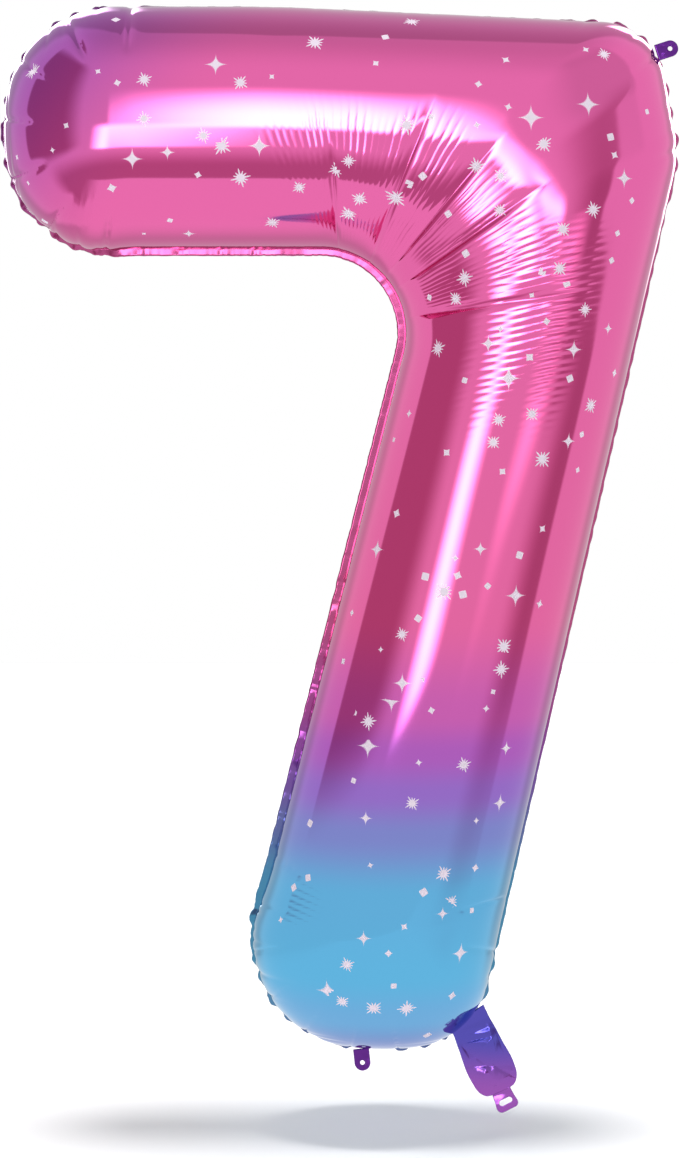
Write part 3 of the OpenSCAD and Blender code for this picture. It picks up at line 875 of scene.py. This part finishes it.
TAIL_ROOT_HALF, TAIL_FLARE, TAIL_CURVE = 17.5, 2.5, 13.0
TAIL_FOIL_T = 0.28


def tail_half(u):
    """Half width of the tail at u, from its crease to its rounded end."""
    w = TAIL_ROOT_HALF + TAIL_FLARE * smooth(u, 0, 26)
    past = np.clip((u - (TAIL_LEN - TAIL_CURVE)) / TAIL_CURVE, 0, 1)
    return w - 11.0 * (1 - np.sqrt(1 - past ** 2))


def tail_grid(start, end, n, m, half):
    """Places (v, u) over the tail, n along it and m across, slanted like the crease at its start."""
    q = np.linspace(0, 1, n)[:, None]
    side_share = np.linspace(-1, 1, m)[None, :]
    u_line = start + (end - start) * q
    v = half(u_line) * side_share + 0.7 * np.sin(u_line / 6.5 + 1.3 * side_share) * smooth(u_line, 6, 20)
    slope = SLANT * (1 - smooth(q, 0, 0.45))
    u = u_line - v * slope
    return v, u


def tail_film(name, sign, node):
    """The tail's foil on one side. Its first part lies flat inside the body."""
    v, u = tail_grid(-7.5, TAIL_LEN, 90, 44, tail_half)
    y = crumple(v, u) + sign * (puff(v, u) + 0.15)
    y = np.where(u < 0, sign * 0.55, y)
    fine = np.random.default_rng(31 + sign)
    y = y + sign * 0.25 * np.abs(ripple(waves(fine, 4, 5, 13), v + 0.6 * u)) * smooth(u, 4, 14)
    obj = slab(name, v, u, y, TAIL_FOIL_T, TAIL_AT, TAIL_TURN, FOIL_TAIL)
    at_crease(obj, node)


tail_film("tail_front_foil", -1, "tail_front_film")
tail_film("tail_rear_foil", 1, "tail_rear_film")


def strip(name, across, along, y0, thick, mid, mat, body, node, n=24, m=7):
    """A straight strip of film over the ranges `across` and `along` the tail, on the mid-surface mid."""
    (v0, v1), (u0, u1) = across, along
    q = np.linspace(0, 1, n)[:, None] * np.ones((1, m))
    r = np.linspace(0, 1, m)[None, :] * np.ones((n, 1))
    v = v0 + (v1 - v0) * r
    u = u0 + (u1 - u0) * q
    if u0 == 0:
        u = u + (1 - q) * (0.95 - v * SLANT)
    if u1 == 0:
        u = u + q * (-0.95 - v * SLANT)
    on_body(slab(name, v, u, mid(v, u) + y0, thick, TAIL_AT, TAIL_TURN, mat), body, node)


def flat(v, u):
    """The films where they cross the seam."""
    return np.zeros_like(v)


def limp(v, u):
    """The free tongue inside the body: it bows a little from its crease to its end."""
    return 0.011 * (np.maximum(-u - NECK_IN, 0)) ** 1.3 + 0.1 * np.sin(v / 3.1)


# The valve, across and along the tail: outside the seam, across it, and free inside the body.
VALVE_HALF, CHANNEL_HALF = 12.0, 9.5
VALVE, CHANNEL = (-VALVE_HALF, VALVE_HALF), (-CHANNEL_HALF, CHANNEL_HALF)
INLET, NECK, TONGUE = (0, 61), (-19.2, 0), (-72, -21.1)
VALVE_Y, VALVE_T, WELD_T, INK_T = 0.125, 0.14, 0.1, 0.09
SEAL_IN, SEAL_OUT, SEAL_ALONG, SEAL_T = 16.2 * 0.88, 19.6 * 0.88, (6.5, 54), 0.7

for sign, way in ((-1, "front"), (1, "rear")):
    y = sign * VALVE_Y
    strip(f"inlet_{way}", VALVE, INLET, y, VALVE_T, crumple, CLEAR, "tail", f"inlet_{way}_film", 60, 16)
    strip(f"neck_{way}", VALVE, NECK, y, VALVE_T, flat, CLEAR, "envelope", f"neck_{way}_film")
    strip(f"tongue_{way}", VALVE, TONGUE, y, VALVE_T, limp, CLEAR, "tongue", f"tongue_{way}_film", 30, 12)
for sign, way in ((-1, "left"), (1, "right")):
    weld = (-VALVE_HALF, -CHANNEL_HALF) if sign < 0 else (CHANNEL_HALF, VALVE_HALF)
    strip(f"inlet_weld_{way}", weld, INLET, 0, WELD_T, crumple, WELD, "tail", "inlet_side_welds", 60, 4)
    strip(f"neck_weld_{way}", weld, NECK, 0, WELD_T, flat, WELD, "envelope", "neck_side_welds", 12, 4)
    strip(f"tongue_weld_{way}", weld, TONGUE, 0, WELD_T, limp, WELD, "tongue", "tongue_side_welds", 30, 4)
    seal = (-SEAL_OUT, -SEAL_IN) if sign < 0 else (SEAL_IN, SEAL_OUT)
    strip(f"tail_seal_{way}", seal, SEAL_ALONG, 0, SEAL_T, crumple, FOIL_TAIL, "tail",
          "tail_side_seals", 60, 4)
strip("release_patch", CHANNEL, NECK, 0, INK_T, flat, INK, "envelope", "release_coating")


def pad(name, shape, hole, at, turn, mid, thick, mat, rings=9, count=96):
    """A thin closed tab with a hole: rings of points from the hole's edge to the tab's edge."""
    angle = np.linspace(-math.pi, math.pi, count, endpoint=False)

    def reach(points):
        a = np.arctan2(points[:, 1], points[:, 0])
        r = np.hypot(points[:, 0], points[:, 1])
        order = np.argsort(a)
        return np.interp(angle, a[order], r[order], period=2 * math.pi)

    outside, inside = reach(shape), reach(hole)
    q = np.linspace(0, 1, rings)[:, None]
    r = inside * (1 - q) + outside * q
    v, u = r * np.cos(angle), r * np.sin(angle)
    y = mid(v, u)
    k = rings * count
    faces = []
    for i in range(count):
        j = (i + 1) % count
        for ring in range(rings - 1):
            f = [ring * count + i, ring * count + j, (ring + 1) * count + j, (ring + 1) * count + i]
            faces += [tuple(f), tuple(x + k for x in f[::-1])]
        faces += [(j, i, i + k, j + k),
                  ((rings - 1) * count + i, (rings - 1) * count + j, (rings - 1) * count + j + k,
                   (rings - 1) * count + i + k)]
    return new_object(name, both_sides(at, turn, v, u, y, thick), faces, mat)


def outline_of(corners, steps=24):
    """Points along a shape given as (v, u, corner radius)."""
    out = []
    n = len(corners)
    for i, (v, u, r) in enumerate(corners):
        if r:
            out += list(arc_points(*corner(corners[i - 1], (v, u), corners[(i + 1) % n], r), steps))
        else:
            out.append(np.array([v, u], float))
    dense = []
    for a, b in zip(out, out[1:] + out[:1]):
        dense += [a + (b - a) * t for t in np.linspace(0, 1, 12, endpoint=False)]
    return np.array(dense)


# The tie tab, round its slot.
tie_shape = outline_of([(-8.5, -10.5, 0), (8.5, -10.5, 0), (9.2, -2, 4), (10, 3, 3), (9.5, 7.8, 4.5),
                        (-9.5, 7.8, 4.5), (-10, 3, 3), (-9.2, -2, 4)])
slot_shape = outline_of([(-6, -2.5, 2.49), (6, -2.5, 2.49), (6, 2.5, 2.49), (-6, 2.5, 2.49)])
tie_at = TAIL_AT + down(TAIL_TURN) * SLOT_AT
end_y = float(crumple(np.array([[0.0]]), np.array([[TAIL_LEN]]))[0, 0])
tie = pad("tie_tab_foil", tie_shape, slot_shape, tie_at, TAIL_TURN,
          lambda v, u: (end_y * (1 - smooth(u, -10, 2)) + 0.5 * np.sin(v / 2.6) * smooth(u, -8, 2)
                        + 0.02 * v * u * 0.5), 0.8, FOIL_TAIL)
at_crease(tie, "tie_tab")


def hanging(name, at, turn, node, curl):
    """An eyelet tab: a strip with a round end and a hole, curled a little."""
    shape = outline_of([(-7, -12.3, 0), (7, -12.3, 0), (7, 7, 6.9), (-7, 7, 6.9)])
    a = np.linspace(0, 2 * math.pi, 96, endpoint=False)
    hole = np.c_[2 * np.cos(a), 2 * np.sin(a)]
    obj = pad(name, shape, hole, at + down(turn) * 9, turn,
              lambda v, u: curl * (0.5 * np.sin(v / 2.4 + 0.8) + 0.06 * np.maximum(u + 9, 0)
                                   - 0.8 * np.exp(-np.abs(v - 0.3 * u) / 1.6)) * smooth(u, -10, -3),
              0.5, FOIL_DEEP)
    at_crease(obj, node)


hanging("upper_tab_foil", UPPER_AT, UPPER_TURN, "upper_hanging_tab", 1.0)
hanging("lower_tab_foil", LOWER_AT, LOWER_TURN, "lower_hanging_tab", -1.2)

# ---------------------------------------------------------------- floor, light and camera
FLOOR_Z = -0.022
floor_mesh = bpy.data.meshes.new("floor")
floor_corners = [(-4, -0.78), (4, -0.78), (4, 5), (-4, 5)]
floor_mesh.from_pydata([(x, y, FLOOR_Z) for x, y in floor_corners], [], [(0, 1, 2, 3)])
floor_mat, k, bsdf = material("floor_paper")
bsdf.inputs["Base Color"].default_value = (0.9, 0.9, 0.9, 1)
bsdf.inputs["Roughness"].default_value = 0.9
floor_mesh.materials.append(floor_mat)
floor = bpy.data.objects.new("floor", floor_mesh)
bpy.context.scene.collection.objects.link(floor)
floor.visible_glossy = False


def studio():
    """A pale room: white behind the object, two dim sides, and softboxes in front."""
    world = bpy.data.worlds.new("studio")
    bpy.context.scene.world = world
    world.use_nodes = True
    k = Nodes(world.node_tree)
    out = k.add("ShaderNodeOutputWorld")
    where = k.add("ShaderNodeTexCoord")
    split = k.add("ShaderNodeSeparateXYZ")
    k.link(where.outputs["Generated"], split.inputs[0])
    x, y, z = split.outputs
    azimuth = k.times(k.math("ARCTAN2", x, k.times(y, -1.0)), 180 / math.pi)
    height = k.times(k.math("ARCSINE", z), 180 / math.pi)

    def box(sides, rise, power):
        return k.times(k.times(k.window(azimuth, *sides), k.window(height, *rise)), power)

    def dim(sides, rise, amount):
        return k.minus(1.0, box(sides, rise, amount))

    # The dim right side comes further round to the front at mid height than low down or high up.
    round_more = k.minus(k.step(height, -10, -3.5), k.step(height, 10, 26))
    shifted = k.math("MULTIPLY_ADD", round_more, 25.0, azimuth)
    right = k.times(k.window(shifted, 54, 77.5, 15, 2), k.window(height, -18, 20, 4, 14))
    sides = k.minus(1.0, k.times(right, 0.48))
    sides = k.times(sides, dim((-75, 70, 12, 12), (-64, -29, 4, 9), 0.42))
    room = k.times(dim((24, 84, 12, 4), (18, 66, 8, 8), 0.2),
                   dim((-200, 200, 1, 1), (68, 120, 20, 9), 0.25))
    behind = k.plus(k.window(azimuth, 132, 200, 8), k.window(azimuth, -200, -132, 8))
    room = k.times(room, k.minus(1.0, k.times(behind, 0.3)))
    lights = k.plus(box((21, 38, 8, 8), (-6.6, -1, 2.6, 3), 1.2), box((152, 164, 4), (2, 40, 4), 8.0))
    lights = k.plus(lights, box((-172, -160, 4), (2, 40, 4), 5.0))
    # What is dim is also warmer, so that the foil goes deep rather than grey.
    mixed = k.add("ShaderNodeCombineXYZ")
    for socket, power in zip(mixed.inputs, (1.0, 1.7, 1.38)):
        k.link(k.math("MULTIPLY_ADD", k.math("POWER", sides, power), room, lights), socket)
    shiny = k.add("ShaderNodeBackground")
    k.link(mixed.outputs[0], shiny.inputs["Color"])
    # Paper and ink take an even light, weaker from above so that the floor keeps a shadow.
    matt = k.add("ShaderNodeBackground")
    k.link(k.math("MULTIPLY_ADD", k.step(height, 5, 50), -1.05, 1.3), matt.inputs["Strength"])
    matt.inputs["Color"].default_value = (1, 1, 1, 1)
    seen = k.add("ShaderNodeBackground")
    seen.inputs["Color"].default_value = (1, 1, 1, 1)
    seen.inputs["Strength"].default_value = 1.0
    path = k.add("ShaderNodeLightPath")
    light = k.mix_shaders(path.outputs["Is Diffuse Ray"], shiny.outputs[0], matt.outputs[0])
    k.link(k.mix_shaders(path.outputs["Is Camera Ray"], light, seen.outputs[0]), out.inputs[0])


def card(name, corners, level, soft, tint=(1, 1, 1)):
    """A panel that only the foil sees: soft edged, with its level fading out over `soft` shares of the
    left, right, lower and upper sides."""
    mesh = bpy.data.meshes.new(name)
    mesh.from_pydata(corners, [], [(0, 1, 2, 3)])
    layer = mesh.uv_layers.new(name="place")
    for loop, uv in zip(layer.data, ((0, 0), (1, 0), (1, 1), (0, 1))):
        loop.uv = uv
    mat = bpy.data.materials.new(name)
    mat.use_nodes = True
    k = Nodes(mat.node_tree)
    out = k.add("ShaderNodeOutputMaterial")
    split = k.add("ShaderNodeSeparateXYZ")
    k.link(k.add("ShaderNodeTexCoord").outputs["UV"], split.inputs[0])
    mask = k.times(k.window(split.outputs["X"], soft[0], 1 - soft[1], soft[0], soft[1]),
                   k.window(split.outputs["Y"], soft[2], 1 - soft[3], soft[2], soft[3]))
    glow = k.add("ShaderNodeEmission")
    glow.inputs["Strength"].default_value = level
    glow.inputs["Color"].default_value = tint + (1,)
    clear = k.add("ShaderNodeBsdfTransparent")
    k.link(k.mix_shaders(mask, clear.outputs[0], glow.outputs[0]), out.inputs[0])
    mesh.materials.append(mat)
    obj = bpy.data.objects.new(name, mesh)
    bpy.context.scene.collection.objects.link(obj)
    obj.visible_camera = False
    obj.visible_diffuse = False
    obj.visible_shadow = False


studio()
card("bar_softbox",
     [(-0.46, -1.1, 0.735), (0.10, -1.1, 0.735), (0.10, -1.1, 1.55), (-0.46, -1.1, 1.55)], 7.5,
     (0.2, 0.2, 0.05, 0.38))
card("bend_softbox",
     [(-0.05, -1.08, 0.78), (0.42, -1.08, 0.74), (0.42, -1.08, 0.93), (-0.05, -1.08, 0.97)], 6.0,
     (0.2, 0.15, 0.3, 0.3))
card("stem_softbox",
     [(-0.93, -1.3, 0.33), (-0.21, -1.3, 0.33), (-0.11, -1.3, 0.88), (-0.83, -1.3, 0.88)], 9.0,
     (0.34, 0.33, 0.06, 0.12))
card("left_flag",
     [(-1.54, 0.18, 0.36), (-1.05, -1.36, 0.36), (-1.05, -1.36, 2.6), (-1.54, 0.18, 2.6)], 0.54,
     (0.02, 0.2, 0.04, 0.1), (1.0, 0.58, 0.74))
GLOW_Z = FLOOR_Z + 0.001
card("floor_glow",
     [(-0.85, -0.8, GLOW_Z), (0.5, -0.8, GLOW_Z), (0.5, 0.7, GLOW_Z), (-0.85, 0.7, GLOW_Z)], 1.06,
     (0.14, 0.14, 0.012, 0.2))
lamp = bpy.data.lights.new("overhead", "SUN")
lamp.energy = 2.9
lamp.angle = math.radians(14)
overhead = bpy.data.objects.new("overhead", lamp)
overhead.location = (0, 0, 3)
overhead.visible_glossy = False
bpy.context.scene.collection.objects.link(overhead)

SENSOR = 36.0
HALF_VIEW = 0.5023  # half the longer side of the view, at the target
camera_data = bpy.data.cameras.new("camera")
camera = bpy.data.objects.new("camera", camera_data)
bpy.context.scene.collection.objects.link(camera)
camera.location = EYE
camera.rotation_euler = (TARGET - camera.location).to_track_quat("-Z", "Y").to_euler()
camera_data.sensor_width = SENSOR
camera_data.lens = SENSOR / (2 * math.tan(math.atan(HALF_VIEW / DISTANCE)))
camera_data.clip_start, camera_data.clip_end = 0.05, 30.0
bpy.context.scene.camera = camera
bpy.context.scene.view_settings.view_transform = "Standard"
bpy.context.scene.view_settings.look = "None"
